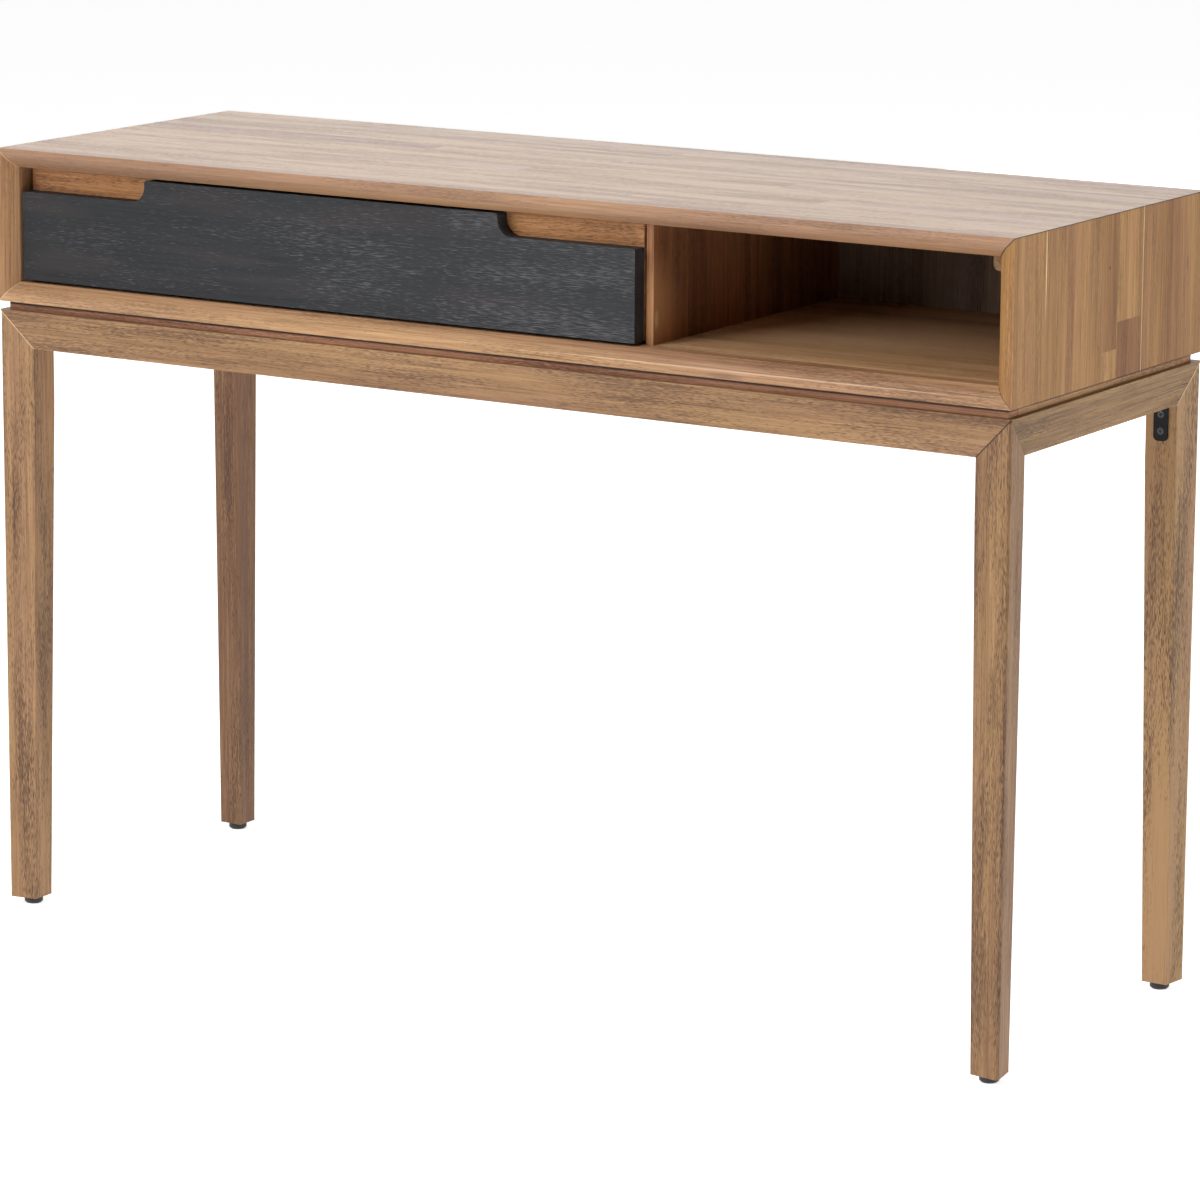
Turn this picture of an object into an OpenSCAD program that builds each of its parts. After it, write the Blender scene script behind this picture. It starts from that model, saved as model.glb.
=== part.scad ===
// Console table: a mitred case with one drawer and one open bay, on a mitred leg frame.
// Frame: X across the front (+X right when facing it), Y front to back, Z up.
// Origin: on the floor, at the middle of the table's footprint. The front faces -Y.

/* [Overall] */
// Width of the table across the front
table_w = 1200; // [800:10:1800]
// Depth from front to back
table_d = 410; // [340:5:500]
// Height from the floor to the top face
table_h = 820; // [700:5:950]

/* [Case] */
// Outside height of the case
case_h = 162; // [130:1:220]
// Thickness of the four case boards
board_t = 20; // [16:0.5:30]
// Width of the flat outer part of each front edge
edge_flat = 8.5; // [4:0.5:12]
// How far the bevelled part of each front edge runs back
bevel_in = 11.5; // [6:0.5:14]
// How far the bevel's face swells out from its chord
bevel_crown = 1.2; // [0.4:0.1:2]
// Thickness of the back panel
back_t = 6; // [4:0.5:9]
// Width of the rebate that holds the back panel
rebate_w = 6; // [4:0.5:8]
// Distance from the back edge of the boards to the front of the back panel
rebate_d = 12; // [9:0.5:20]
// Width of the drawer's compartment
drawer_open_w = 762; // [400:2:900]
// Thickness of the upright between drawer and open bay
divider_t = 8; // [6:0.5:20]
// Depth of the housings for the upright in the top and bottom boards
dado_d = 4; // [2:0.5:6]
// Width of the cleat under the top in the open bay
cleat_w = 18; // [12:1:30]
// Height of the cleat
cleat_h = 17; // [12:1:30]
// Radius of the cleat's rounded lower edge
cleat_r = 7; // [2:0.5:10]

/* [Leg frame] */
// Height of the shadow gap between case and leg frame
plinth_h = 9; // [5:0.5:16]
// How far the plinth strips stand back from the outside
plinth_in = 8; // [4:0.5:16]
// Width of the plinth strips
plinth_w = 22; // [16:1:26]
// Square size of the rails and of the legs at the top
rail_s = 40; // [34:1:56]
// Square size of the legs at the floor
leg_foot = 32; // [26:1:44]
// Length of the straight part of a leg below the rails, before its taper
leg_straight = 60; // [50:5:160]
// How far the canted outer faces fall back across one rail
cant = 6; // [2:0.5:9]
// Radius on the outer corner of the legs
corner_r = 3; // [1:0.5:5]
// Visible height of the glides under the legs
glide_h = 8; // [4:1:15]
// Diameter of the glides
glide_d = 20; // [14:1:24]

/* [Brackets] */
// Width of the corner brackets
bracket_w = 15.6; // [14:0.2:20]
// Length of each bracket flange
bracket_l = 38; // [36:1:48]
// Thickness of the bracket steel
bracket_t = 2; // [1.5:0.1:3]
// Distance of the bracket's centre line from the outside of the leg
bracket_in = 23; // [20:0.5:25]
// Radius on the free corners of the flanges
bracket_r = 5; // [2:0.5:6]

/* [Drawer] */
// Gap round the drawer front
face_gap = 3; // [1.5:0.5:5]
// How far the drawer face stands behind the front edges of the case
face_in = 13; // [12:0.5:20]
// Thickness of the dark drawer face
face_t = 17.5; // [14:0.5:22]
// Length of each finger notch in the top corners of the face
notch_l = 160; // [80:5:220]
// Depth of the finger notches
notch_h = 23; // [22:1:40]
// Radius in the inner corner of a notch
notch_r = 17; // [8:1:17]
// Thickness of the inner drawer front
front_t = 15; // [12:0.5:20]
// Free height under the drawer box
box_under = 10; // [6:1:20]
// Free height over the drawer box
box_over = 22; // [10:1:30]
// Free depth behind the drawer box
box_behind = 22.5; // [10:0.5:80]
// Thickness of the drawer sides and back
box_t = 12; // [10:0.5:16]
// Thickness of the drawer bottom
floor_t = 5; // [4:0.5:9]
// How far the drawer sides hang below the drawer bottom
floor_up = 8; // [6:1:16]

/* [Runners] */
// Space for one runner beside the drawer box
runner_slot = 13; // [12.5:0.1:14]
// How much shorter the runners are than the drawer sides
runner_short = 5; // [5:5:60]
// Height of the runners
runner_h = 45; // [35:1:52]
// Thickness of the runner steel
runner_t = 1.2; // [1:0.1:1.5]

/* [Hidden] */
$fn = 48;
eps = 1;

// Levels and planes that several pieces share
half_w = table_w / 2;
half_d = table_d / 2;
frame_z = table_h - case_h - plinth_h;      // top of the leg frame
rail_z = frame_z - rail_s;                  // underside of the rails
case_z = table_h - case_h;                  // underside of the case
floor_z = case_z + board_t;                 // inside bottom of the case
ceil_z = table_h - board_t;                 // inside top of the case
inner_x = half_w - board_t;                 // inside faces of the case sides
back_y = half_d - rebate_d;                 // front of the back panel
div_x0 = -inner_x + drawer_open_w;          // drawer side of the upright
div_x1 = div_x0 + divider_t;
face_y0 = -half_d + face_in;                // front of the dark face
front_y0 = face_y0 + face_t;                // front of the inner drawer front
box_y0 = front_y0 + front_t;                // front ends of the drawer sides
box_y1 = back_y - box_behind;
box_l = box_y1 - box_y0;
face_x0 = -inner_x + face_gap;
face_x1 = div_x0 - face_gap;
face_z0 = floor_z + face_gap;
face_z1 = ceil_z - face_gap;
box_x0 = -inner_x + runner_slot;            // outside of the left drawer side
box_x1 = div_x0 - runner_slot;              // outside of the right drawer side
box_z0 = floor_z + box_under;
box_z1 = ceil_z - box_over;
box_h = box_z1 - box_z0;
groove = floor_t;                           // depth of the grooves for the drawer bottom
bottom_z = box_z0 + floor_up;
runner_y0 = box_y0 + runner_short / 2;
runner_l = box_l - runner_short;
runner_z = (box_z0 + box_z1) / 2;

// Fastener sizes: shank and head
wood_d = 3.6;       // bracket and back panel screws
wood_head = 7.2;
long_d = 4.2;       // screws that hold the case on the leg frame
long_head = 8.5;
long_sink = 25;     // depth of the sinkings in the rails
long_bite = 13;     // thread length in the bottom board
small_d = 3;        // runner screws
small_head = 6.4;
small_head_t = 0.8;
case_bite = min(6.5, divider_t - 1);
hole_near = 11;                             // bracket holes from the bend
hole_far = 28;

// ---------- helpers ----------

// Section of a case board from front to back; its outer face lies on the first axis.
module board_section() {
    chord = sqrt(pow(bevel_in, 2) + pow(board_t - edge_flat, 2));
    rad = pow(chord, 2) / (8 * bevel_crown) + bevel_crown / 2;
    lean = atan2(bevel_in, board_t - edge_flat);
    back_off = rad - bevel_crown;
    difference() {
        square([table_d, board_t]);
        difference() {
            polygon([[-eps, edge_flat], [0, edge_flat], [bevel_in, board_t],
                [bevel_in, board_t + eps], [-eps, board_t + eps]]);
            translate([bevel_in / 2 + back_off * cos(lean),
                (edge_flat + board_t) / 2 - back_off * sin(lean)])
                circle(r = rad, $fn = 180);
        }
        translate([table_d - rebate_d, board_t - rebate_w])
            square([rebate_d + eps, rebate_w + eps]);
    }
}

// A case board: X along its length, Y from the front edge, outer face down at z = 0,
// with both ends mitred.
module board(length) {
    intersection() {
        rotate([90, 0, 90]) linear_extrude(height = length, center = true) board_section();
        translate([0, table_d + eps, 0]) rotate([90, 0, 0]) linear_extrude(height = table_d + 2 * eps)
            polygon([[-length / 2, 0], [length / 2, 0],
                [length / 2 - board_t, board_t], [-length / 2 + board_t, board_t]]);
    }
}

// Where the back panel is screwed on: [x, z]
function back_points() = concat(
    [for (sx = [-5 : 2 : 5], z = [floor_z - rebate_w / 2, ceil_z + rebate_w / 2])
        [sx / 6 * inner_x, z]],
    [for (s = [-1, 1]) [s * (inner_x + rebate_w / 2), (floor_z + ceil_z) / 2]]);

// Where the case is screwed to the leg frame: [x, y]
function case_points() = concat(
    [for (s = [-1, 0, 1], t = [-1, 1]) [s * half_w * 0.66, t * (half_d - plinth_in - plinth_w / 2)]],
    [for (s = [-1, 1]) [s * (half_w - plinth_in - plinth_w / 2), 0]]);

// Screw places along a runner, from its front end
function case_screw_y() = [for (f = [0.06, 0.5, 0.94]) runner_y0 + f * runner_l];
function box_screw_y() = [for (f = [0.12, 0.56, 0.88]) runner_y0 + f * runner_l];

// Places of the screws that hold the dark face: [x, z]
function face_points() = [for (s = [0.1, 0.9], h = [0.32, 0.7])
    [face_x0 + s * (face_x1 - face_x0), box_z0 + h * box_h]];

// Countersunk screw along +Z: head flush with z = 0, shank down to -length.
module csk_screw(d, head, length) {
    sink = (head - d) / 2;
    difference() {
        union() {
            translate([0, 0, -length]) cylinder(d = d, h = length - sink);
            translate([0, 0, -sink]) cylinder(d1 = d, d2 = head, h = sink);
        }
        cross_slot(head * 0.55, sink * 0.8);
    }
}

// Pan head screw along +Z: head above z = 0, shank down to -length.
module pan_screw(d, head, head_t, length) {
    difference() {
        union() {
            translate([0, 0, -length]) cylinder(d = d, h = length);
            cylinder(d = head, h = head_t);
        }
        translate([0, 0, head_t]) cross_slot(head * 0.55, head_t * 0.6);
    }
}

module cross_slot(span, depth) {
    for (a = [0, 90]) rotate([0, 0, a])
        translate([-span / 2, -span / 10, -depth]) cube([span, span / 5, depth + eps]);
}

// Moves its child from a corner at the origin to the corner named by the signs of x and y.
module at_corner(sx, sy) {
    mirror([sx > 0 ? 1 : 0, 0, 0]) mirror([0, sy > 0 ? 1 : 0, 0])
        translate([-half_w, -half_d, 0]) children();
}

// ---------- case ----------

module dado() {
    translate([div_x0, front_y0, -dado_d]) cube([divider_t, back_y - front_y0, dado_d + eps]);
}

module back_holes() {
    for (p = back_points()) translate([p[0], back_y + back_t, p[1]]) rotate([-90, 0, 0]) {
        translate([0, 0, -back_t - 10]) cylinder(d = wood_d - 1, h = back_t + 10 + eps);
        translate([0, 0, -1.2]) cylinder(d1 = wood_d - 1, d2 = wood_d - 1 + 2.4, h = 1.2);
    }
}

module top_panel() color("#cdbb9f") difference() {
    translate([0, -half_d, table_h]) mirror([0, 0, 1]) board(table_w);
    translate([0, 0, ceil_z]) mirror([0, 0, 1]) dado();
    back_holes();
}

module bottom_panel() color("#b08a62") difference() {
    translate([0, -half_d, case_z]) board(table_w);
    translate([0, 0, floor_z]) dado();
    back_holes();
    for (p = case_points()) translate([p[0], p[1], case_z - eps]) cylinder(d = long_d, h = long_bite + eps);
}

module side_board() {
    translate([-half_w, -half_d, case_z + case_h / 2]) rotate([0, 90, 0]) board(case_h);
}

module side_left() color("#b58e66") difference() {
    side_board();
    back_holes();
    for (y = case_screw_y()) translate([-inner_x - case_bite, y, runner_z]) rotate([0, 90, 0])
        cylinder(d = small_d, h = case_bite + eps);
}

module side_right() color("#b58e66") difference() {
    mirror([1, 0, 0]) side_board();
    back_holes();
}

module divider() color("#a9784e") difference() {
    translate([div_x0, front_y0, floor_z - dado_d])
        cube([divider_t, back_y - front_y0, ceil_z - floor_z + 2 * dado_d]);
    for (y = case_screw_y()) translate([div_x0 - eps, y, runner_z]) rotate([0, 90, 0])
        cylinder(d = small_d, h = case_bite + eps);
}

module back_panel() color("#6b5138") difference() {
    translate([-inner_x - rebate_w, back_y, floor_z - rebate_w])
        cube([2 * (inner_x + rebate_w), back_t, ceil_z - floor_z + 2 * rebate_w]);
    back_holes();
}

module back_screws() color("#8d8f91")
    for (p = back_points()) translate([p[0], back_y + back_t, p[1]]) rotate([-90, 0, 0])
        csk_screw(wood_d - 1, wood_d + 1.4, back_t + 10);

// Cleat between the top and the right side of the open bay, with one rounded edge
module bay_cleat() color("#b3906a")
    translate([inner_x, back_y, ceil_z]) rotate([90, 0, 0])
        linear_extrude(height = back_y - front_y0) union() {
            translate([-cleat_w + cleat_r, -cleat_h]) square([cleat_w - cleat_r, cleat_h]);
            translate([-cleat_w, -cleat_h + cleat_r]) square([cleat_w, cleat_h - cleat_r]);
            translate([-cleat_w + cleat_r, -cleat_h + cleat_r]) circle(r = cleat_r);
        }

// ---------- plinth ----------

module plinth_long() difference() {
    translate([-half_w + plinth_in, -half_d + plinth_in, frame_z])
        cube([table_w - 2 * plinth_in, plinth_w, plinth_h]);
    long_holes();
}

module plinth_short() difference() {
    translate([-half_w + plinth_in, -half_d + plinth_in + plinth_w, frame_z])
        cube([plinth_w, table_d - 2 * (plinth_in + plinth_w), plinth_h]);
    long_holes();
}

module long_holes()
    for (p = case_points()) translate([p[0], p[1], rail_z - eps]) {
        cylinder(d = long_d, h = rail_s + plinth_h + 2 * eps);
        cylinder(d = long_head + 1, h = long_sink + eps);
    }

module plinth_front() color("#7d5a3f") plinth_long();
module plinth_back() color("#7d5a3f") mirror([0, 1, 0]) plinth_long();
module plinth_left() color("#7d5a3f") plinth_short();
module plinth_right() color("#7d5a3f") mirror([1, 0, 0]) plinth_short();

module case_screws() color("#8d8f91")
    for (p = case_points()) translate([p[0], p[1], rail_z + long_sink]) rotate([180, 0, 0])
        pan_screw(long_d, long_head, 3, rail_s - long_sink + plinth_h + long_bite);

// ---------- leg frame ----------

// One rail: X along its length, canted outer face at y = 0, ends mitred both ways so that
// two rails and a leg meet in one point at each corner.
module rail(length) {
    half = length / 2;
    difference() {
        intersection() {
            rotate([90, 0, 90]) linear_extrude(height = length, center = true)
                polygon([[0, frame_z], [rail_s, frame_z], [rail_s, rail_z], [cant, rail_z]]);
            translate([0, rail_s + eps, 0]) rotate([90, 0, 0]) linear_extrude(height = rail_s + 2 * eps)
                polygon([[-half, frame_z], [half, frame_z], [half - rail_s, rail_z],
                    [-half + rail_s, rail_z]]);
            translate([0, 0, rail_z - eps]) linear_extrude(height = rail_s + 2 * eps)
                polygon([[-half, 0], [half, 0], [half - rail_s, rail_s], [-half + rail_s, rail_s]]);
        }
        for (m = [0, 1]) mirror([m, 0, 0]) translate([-half, 0, rail_z - eps])
            linear_extrude(height = rail_s + 2 * eps) difference() {
                translate([-eps, -eps]) square(corner_r + eps);
                translate([corner_r, corner_r]) circle(r = corner_r);
            }
    }
}

module rail_front() color("#b18a63") difference() {
    translate([0, -half_d, 0]) rail(table_w);
    long_holes();
}

module rail_back() color("#b18a63") difference() {
    mirror([0, 1, 0]) translate([0, -half_d, 0]) rail(table_w);
    long_holes();
}

module side_rail() difference() {
    translate([-half_w, 0, 0]) rotate([0, 0, -90]) rail(table_d);
    long_holes();
    for (m = [0, 1]) mirror([0, m, 0]) at_corner(-1, -1) bracket_place() flat_holes();
}

module rail_left() color("#ad8560") side_rail();
module rail_right() color("#ad8560") mirror([1, 0, 0]) side_rail();

arc_proud = 0.03;       // the corner's arc crosses the faces instead of just touching them

// Plan of a leg: two canted outer faces with a rounded corner between them
module leg_plan() {
    face_a = atan2(cant, rail_s);
    half_a = (90 - 2 * face_a) / 2;
    reach = corner_r / tan(half_a) * cos(face_a);
    mid = corner_r / sin(half_a) * cos(45) - arc_proud;
    difference() {
        polygon([[0, 0], [rail_s, cant], [rail_s, rail_s], [cant, rail_s]]);
        difference() {
            translate([-eps, -eps]) square(reach + eps);
            translate([mid, mid]) circle(r = corner_r);
        }
    }
}

// Side outline of a leg: straight below the rail, then tapered on the inner face, mitred on top
module leg_side() {
    polygon([[-eps, glide_h], [leg_foot, glide_h], [rail_s, rail_z - leg_straight],
        [rail_s, rail_z], [-eps, frame_z + eps]]);
}

// A leg with its outer corner at the origin
module leg() difference() {
    intersection() {
        translate([0, 0, glide_h]) linear_extrude(height = frame_z - glide_h) leg_plan();
        translate([0, rail_s + eps, 0]) rotate([90, 0, 0])
            linear_extrude(height = rail_s + 2 * eps) leg_side();
        mirror([1, -1, 0]) translate([0, rail_s + eps, 0]) rotate([90, 0, 0])
            linear_extrude(height = rail_s + 2 * eps) leg_side();
    }
    bracket_place() upright_holes();
    translate([glide_c, glide_c, glide_h - eps]) cylinder(d = stem_d, h = stem_l + eps);
}

glide_c = (leg_foot + cant * leg_foot / rail_s) / 2;    // glide centre from the outer corner
stem_d = 8;
stem_l = 16;

module leg_front_left() color("#b28b64") at_corner(-1, -1) leg();
module leg_front_right() color("#b28b64") at_corner(1, -1) leg();
module leg_back_left() color("#a37d58") at_corner(-1, 1) leg();
module leg_back_right() color("#b28b64") at_corner(1, 1) leg();

// Round glide with an eased lower edge and a stem up into the leg
module glide() translate([glide_c, glide_c, 0]) rotate_extrude() union() {
    polygon([[0, 0], [glide_d / 2 - 2, 0], [glide_d / 2, 2], [glide_d / 2, glide_h], [0, glide_h]]);
    translate([0, glide_h - eps]) square([stem_d / 2, stem_l - 1 + eps]);
}

module glide_front_left() color("#1d1d1e") at_corner(-1, -1) glide();
module glide_front_right() color("#1d1d1e") at_corner(1, -1) glide();
module glide_back_left() color("#1d1d1e") at_corner(-1, 1) glide();
module glide_back_right() color("#1d1d1e") at_corner(1, 1) glide();

// ---------- brackets ----------

// Moves a bracket from its own frame (bend at the origin, flanges along +Y and -Z)
// to the inner corner between a leg and the side rail
module bracket_place() translate([bracket_in, rail_s, rail_z]) children();

module flange_plan() union() {
    translate([-bracket_w / 2, 0]) square([bracket_w, bracket_l - bracket_r]);
    translate([-bracket_w / 2 + bracket_r, 0]) square([bracket_w - 2 * bracket_r, bracket_l]);
    for (s = [-1, 1]) translate([s * (bracket_w / 2 - bracket_r), bracket_l - bracket_r])
        circle(r = bracket_r);
}

// Seats and pilots of the screws in the flange under the rail, and in the one on the leg
module flat_holes() for (y = [hole_near, hole_far]) translate([0, y, -bracket_t])
    rotate([180, 0, 0]) screw_room();
module upright_holes() for (z = [hole_near, hole_far]) translate([0, bracket_t, -z])
    rotate([-90, 0, 0]) screw_room();

module screw_room() {
    sink = (wood_head - wood_d) / 2;
    translate([0, 0, -16]) cylinder(d = wood_d, h = 16 + eps);
    translate([0, 0, -sink]) cylinder(d1 = wood_d, d2 = wood_head, h = sink);
    cylinder(d = wood_head, h = eps);
}

module bracket() bracket_place() difference() {
    union() {
        translate([0, 0, -bracket_t]) linear_extrude(height = bracket_t) flange_plan();
        rotate([-90, 0, 0]) linear_extrude(height = bracket_t) flange_plan();
    }
    flat_holes();
    upright_holes();
}

module bracket_front_left() color("#2a2b2d") at_corner(-1, -1) bracket();
module bracket_front_right() color("#2a2b2d") at_corner(1, -1) bracket();
module bracket_back_left() color("#2a2b2d") at_corner(-1, 1) bracket();
module bracket_back_right() color("#2a2b2d") at_corner(1, 1) bracket();

module bracket_screws() color("#3b3c3e")
    for (sx = [-1, 1], sy = [-1, 1]) at_corner(sx, sy) bracket_place() {
        for (y = [hole_near, hole_far]) translate([0, y, -bracket_t]) rotate([180, 0, 0])
            csk_screw(wood_d, wood_head, 16);
        for (z = [hole_near, hole_far]) translate([0, bracket_t, -z]) rotate([-90, 0, 0])
            csk_screw(wood_d, wood_head, 16);
    }

// ---------- drawer ----------

// Finger notch at the left top corner of an outline whose top edge is at height h
module notch(h) {
    tip = 2.5;
    translate([-eps, h - notch_h]) square([notch_l - notch_r + eps, notch_h + eps]);
    translate([-eps, h - notch_h + notch_r])
        square([notch_l + eps, notch_h - notch_r + eps]);
    translate([notch_l - notch_r, h - notch_h + notch_r]) circle(r = notch_r, $fn = 96);
    difference() {
        translate([notch_l - eps, h - tip]) square([tip + eps, tip + eps]);
        translate([notch_l + tip, h - tip]) circle(r = tip);
    }
}

module face_outline() {
    w = face_x1 - face_x0;
    h = face_z1 - face_z0;
    difference() {
        square([w, h]);
        notch(h);
        translate([w, 0]) mirror([1, 0]) notch(h);
    }
}

module drawer_face() color("#3b3d40") difference() {
    translate([face_x0, front_y0, face_z0]) rotate([90, 0, 0])
        linear_extrude(height = face_t) face_outline();
    face_holes();
}

module face_holes() for (p = face_points())
    translate([p[0], box_y0 + eps, p[1]]) rotate([90, 0, 0])
        cylinder(d = long_d, h = front_t + face_bite + eps);

face_bite = face_t - 5;

module drawer_front() color("#b9824f") difference() {
    translate([face_x0, front_y0, face_z0])
        cube([face_x1 - face_x0, front_t, face_z1 - face_z0]);
    face_holes();
    floor_blank();
}

module face_screws() color("#8d8f91") for (p = face_points())
    translate([p[0], box_y0, p[1]]) rotate([-90, 0, 0])
        pan_screw(long_d, long_head, 2.5, front_t + face_bite);

// The drawer bottom, which also cuts the grooves that hold it
module floor_blank()
    translate([box_x0 + box_t - groove, box_y0 - groove, bottom_z])
        cube([box_x1 - box_x0 - 2 * (box_t - groove), box_l - box_t + 2 * groove, floor_t]);

module box_side() difference() {
    translate([box_x0, box_y0, box_z0]) cube([box_t, box_l, box_h]);
    floor_blank();
    for (y = box_screw_y()) translate([box_x0 - eps, y, runner_z]) rotate([0, 90, 0])
        cylinder(d = small_d, h = 8 + eps);
}

// Mirrors its child about the middle of the drawer
module other_side() translate([box_x0 + box_x1, 0, 0]) mirror([1, 0, 0]) children();

module drawer_side_left() color("#c0966a") box_side();
module drawer_side_right() color("#c0966a") other_side() box_side();

module drawer_back() color("#c0966a") difference() {
    translate([box_x0 + box_t, box_y1 - box_t, box_z0])
        cube([box_x1 - box_x0 - 2 * box_t, box_t, box_h]);
    floor_blank();
}

module drawer_bottom() color("#c9a77e") floor_blank();

// ---------- runners ----------

// Channel that opens to +X: web from x = x0, flanges out to x = x1, outside height h
module channel(x0, x1, h) {
    translate([x0, runner_y0, runner_z - h / 2]) cube([runner_t, runner_l, h]);
    for (s = [-1, 1]) translate([x0, runner_y0, runner_z + s * (h - runner_t) / 2 - runner_t / 2])
        cube([x1 - x0, runner_l, runner_t]);
}

middle_x = runner_t + small_head_t + 0.6;       // web of the middle member
box_web = runner_slot - runner_t;               // web of the member on the drawer

// Left-hand members, from the case side of the runner space
module outer_member() translate([-inner_x, 0, 0]) difference() {
    channel(0, runner_slot - 3.2, runner_h);
    for (y = case_screw_y()) translate([-eps, y, runner_z]) rotate([0, 90, 0])
        cylinder(d = small_d, h = runner_t + 2 * eps);
}

module middle_member() translate([-inner_x, 0, 0])
    channel(middle_x, runner_slot - 2.2, runner_h - 6);

module box_member() translate([-inner_x, 0, 0]) difference() {
    mirror([1, 0, 0]) channel(-runner_slot, -middle_x - runner_t - 1.4, runner_h - 14);
    for (y = box_screw_y()) translate([box_web - eps, y, runner_z]) rotate([0, 90, 0])
        cylinder(d = small_d, h = runner_t + 2 * eps);
}

// Mirrors its child about the middle of the drawer's compartment
module across() translate([div_x0 - inner_x, 0, 0]) mirror([1, 0, 0]) children();

module runner_case_left() color("#9ea1a4") outer_member();
module runner_case_right() color("#9ea1a4") across() outer_member();
module runner_middle_left() color("#a9acaf") middle_member();
module runner_middle_right() color("#a9acaf") across() middle_member();
module runner_box_left() color("#9ea1a4") box_member();
module runner_box_right() color("#9ea1a4") across() box_member();

module case_side_screws() for (y = case_screw_y())
    translate([-inner_x + runner_t, y, runner_z]) rotate([0, 90, 0])
        pan_screw(small_d, small_head, small_head_t, runner_t + case_bite);

module box_side_screws() for (y = box_screw_y())
    translate([-inner_x + box_web, y, runner_z]) rotate([0, -90, 0])
        pan_screw(small_d, small_head, small_head_t, runner_t + 8);

module runner_case_screws() color("#8d8f91") {
    case_side_screws();
    across() case_side_screws();
}

module runner_box_screws() color("#8d8f91") {
    box_side_screws();
    across() box_side_screws();
}

// ---------- the table ----------

top_panel();
bottom_panel();
side_left();
side_right();
divider();
back_panel();
back_screws();
bay_cleat();
plinth_front();
plinth_back();
plinth_left();
plinth_right();
rail_front();
rail_back();
rail_left();
rail_right();
leg_front_left();
leg_front_right();
leg_back_left();
leg_back_right();
bracket_front_left();
bracket_front_right();
bracket_back_left();
bracket_back_right();
bracket_screws();
case_screws();
glide_front_left();
glide_front_right();
glide_back_left();
glide_back_right();
drawer_face();
drawer_front();
drawer_side_left();
drawer_side_right();
drawer_back();
drawer_bottom();
face_screws();
runner_case_left();
runner_case_right();
runner_middle_left();
runner_middle_right();
runner_box_left();
runner_box_right();
runner_case_screws();
runner_box_screws();
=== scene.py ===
"""Console table with one drawer and one open bay: finishes, studio and camera."""

import logging
import math
from dataclasses import dataclass
from enum import Enum
from typing import Iterable, Optional

import bmesh
import bpy
from mathutils import Matrix, Vector


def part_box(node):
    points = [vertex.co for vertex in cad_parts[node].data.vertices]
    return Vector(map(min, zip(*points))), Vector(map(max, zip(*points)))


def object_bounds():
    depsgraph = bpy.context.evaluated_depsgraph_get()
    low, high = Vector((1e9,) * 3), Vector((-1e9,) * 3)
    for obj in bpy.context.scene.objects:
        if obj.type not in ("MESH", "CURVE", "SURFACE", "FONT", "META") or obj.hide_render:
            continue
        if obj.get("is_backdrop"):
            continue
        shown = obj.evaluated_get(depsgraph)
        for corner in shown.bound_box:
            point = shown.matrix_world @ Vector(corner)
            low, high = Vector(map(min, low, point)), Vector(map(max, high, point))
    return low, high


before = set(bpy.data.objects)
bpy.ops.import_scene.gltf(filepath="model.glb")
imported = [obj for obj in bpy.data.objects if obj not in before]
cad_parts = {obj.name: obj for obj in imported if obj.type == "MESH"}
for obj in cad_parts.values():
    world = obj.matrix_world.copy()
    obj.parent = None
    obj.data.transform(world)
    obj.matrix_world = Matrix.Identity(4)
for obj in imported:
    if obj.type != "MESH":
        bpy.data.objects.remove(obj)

logging.basicConfig(level=logging.INFO, format="%(message)s")
LOG = logging.getLogger("table")

Colour = tuple[float, float, float]
Triple = tuple[float, float, float]

CORNERS = ("front_left", "front_right", "back_left", "back_right")

# Depth of the grain's relief, half a glue line, and the gap that a weld closes, in metres
RELIEF = 0.0002
GLUE_HALF = 0.00045
WELD_GAP = 0.00002
# Edges that turn by more than this many degrees are eased
SHARP_ANGLE = 32
GLUE_TINT = (226, 196, 150)
# A place past every board's end, and the range of places that a stave's joint may have
NO_JOINT = 9.0
JOINT_LOW, JOINT_SPAN = -1.0, 11.0
# How far apart the grain of two staves, or of the two ends of a stave, is picked
STAVE_KEY, JOINT_KEY = 57.0, 3.7
GRAIN_JUMP = (7.0, 3.0, 3.0)


class Grain(Enum):
    """The way the grain of a board runs."""

    ALONG_X = (0, 1, 2)
    ALONG_Y = (1, 0, 2)
    ALONG_Z = (2, 0, 1)


def tint(red: float, green: float, blue: float) -> Colour:
    """Turns an everyday 0 to 255 colour into the linear one a shader takes.

    Args:
        red: Red share, 0 to 255.
        green: Green share, 0 to 255.
        blue: Blue share, 0 to 255.

    Returns:
        The linear colour.
    """
    def linear(share: float) -> float:
        """Takes one share out of its display curve."""
        share /= 255.0
        return share / 12.92 if share <= 0.04045 else ((share + 0.055) / 1.055) ** 2.4

    return linear(red), linear(green), linear(blue)


class Cells:
    """Noise cells per metre in wood, along the grain and then across it twice."""

    SWAY = (1.3, 7.0, 7.0)
    TONE = (1.4, 16.0, 16.0)
    FIGURE = (1.5, 95.0, 95.0)
    STREAK = (3.8, 480.0, 480.0)
    FIBRE = (26.0, 1500.0, 1500.0)
    DRIFT = (2.2, 34.0, 34.0)
    CROWD = (4.0, 48.0, 48.0)
    TICK = (150.0, 2100.0, 2100.0)
    HAIR = (9.0, 720.0, 720.0)


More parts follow.
